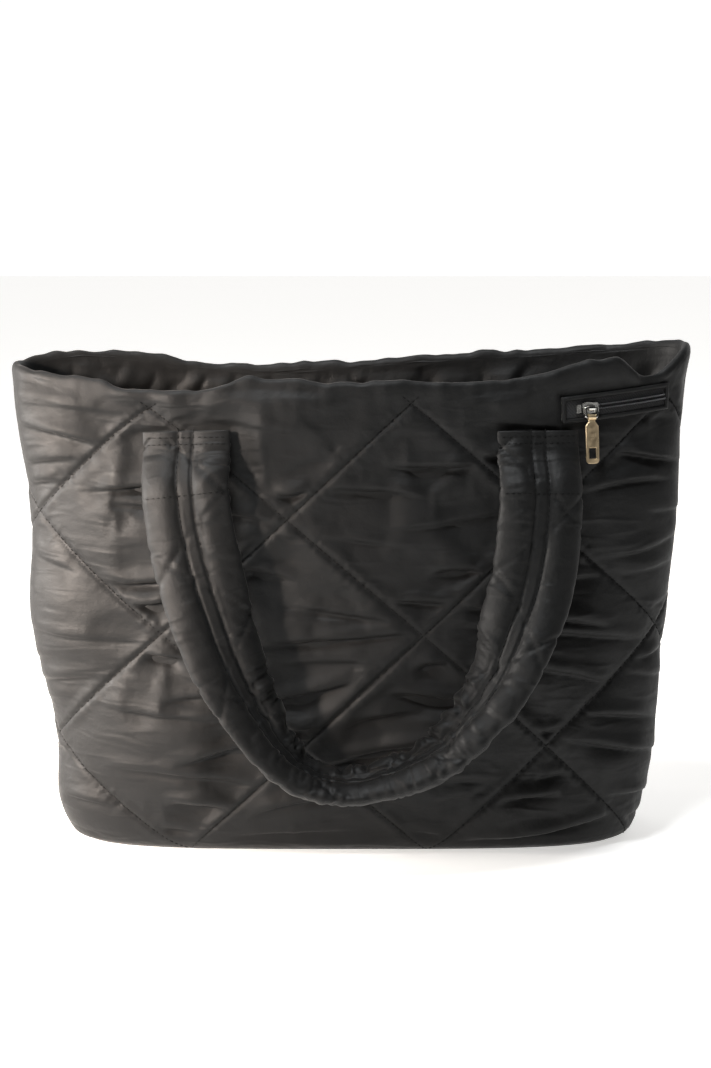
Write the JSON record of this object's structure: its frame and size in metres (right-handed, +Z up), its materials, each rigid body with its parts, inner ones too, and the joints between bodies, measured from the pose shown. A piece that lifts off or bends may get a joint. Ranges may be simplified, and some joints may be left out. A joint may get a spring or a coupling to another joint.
{
  "type": "puffer tote bag",
  "caption": "Open-top quilted padded tote bag on a flat base, with padded shoulder handles hanging down its front and back and a slanted zip pocket with a metal pull.",
  "frame": {"origin": "middle of the flat base, on the surface the bag stands on", "axes": "+Z up, +X to the right of the front, and the front with the zip pocket faces -Y"},
  "size_m": [0.4682, 0.2474, 0.3499],
  "materials": {
    "quilted_cloth": "black nylon satin, padded and quilted",
    "lining_cloth": "thin black lining satin",
    "zip_tape": "black woven tape",
    "zip_coil": "black nylon coil",
    "silver_metal": "bright plated die-cast metal",
    "bronze_metal": "pale bronze plated die-cast metal"
  },
  "bodies": {
    "bag": {"front_panel": "quilted_cloth", "back_panel": "quilted_cloth", "lining": "lining_cloth", "front_handle": "quilted_cloth", "rear_handle": "quilted_cloth", "zip_welt": "quilted_cloth", "zip_tape": "zip_tape", "zip_coil": "zip_coil", "zip_stop": "silver_metal", "zip_slider": "silver_metal"},
    "bail": {"zip_bail": "silver_metal"},
    "pull_tab": {"zip_pull_tab": "bronze_metal"}
  },
  "joints": [
    {"name": "bail_hinge", "type": "hinge", "parent": "bag", "child": "bail", "pos_m": [0.16016, -0.04817, 0.31064], "axis": [-0.9818, -0.1901, 0], "range_deg": [0, 120]},
    {"name": "tab_hinge", "type": "hinge", "parent": "bail", "child": "pull_tab", "pos_m": [0.16034, -0.04909, 0.30471], "axis": [-0.9818, -0.1901, 0], "range_deg": [0, 60]}
  ]
}
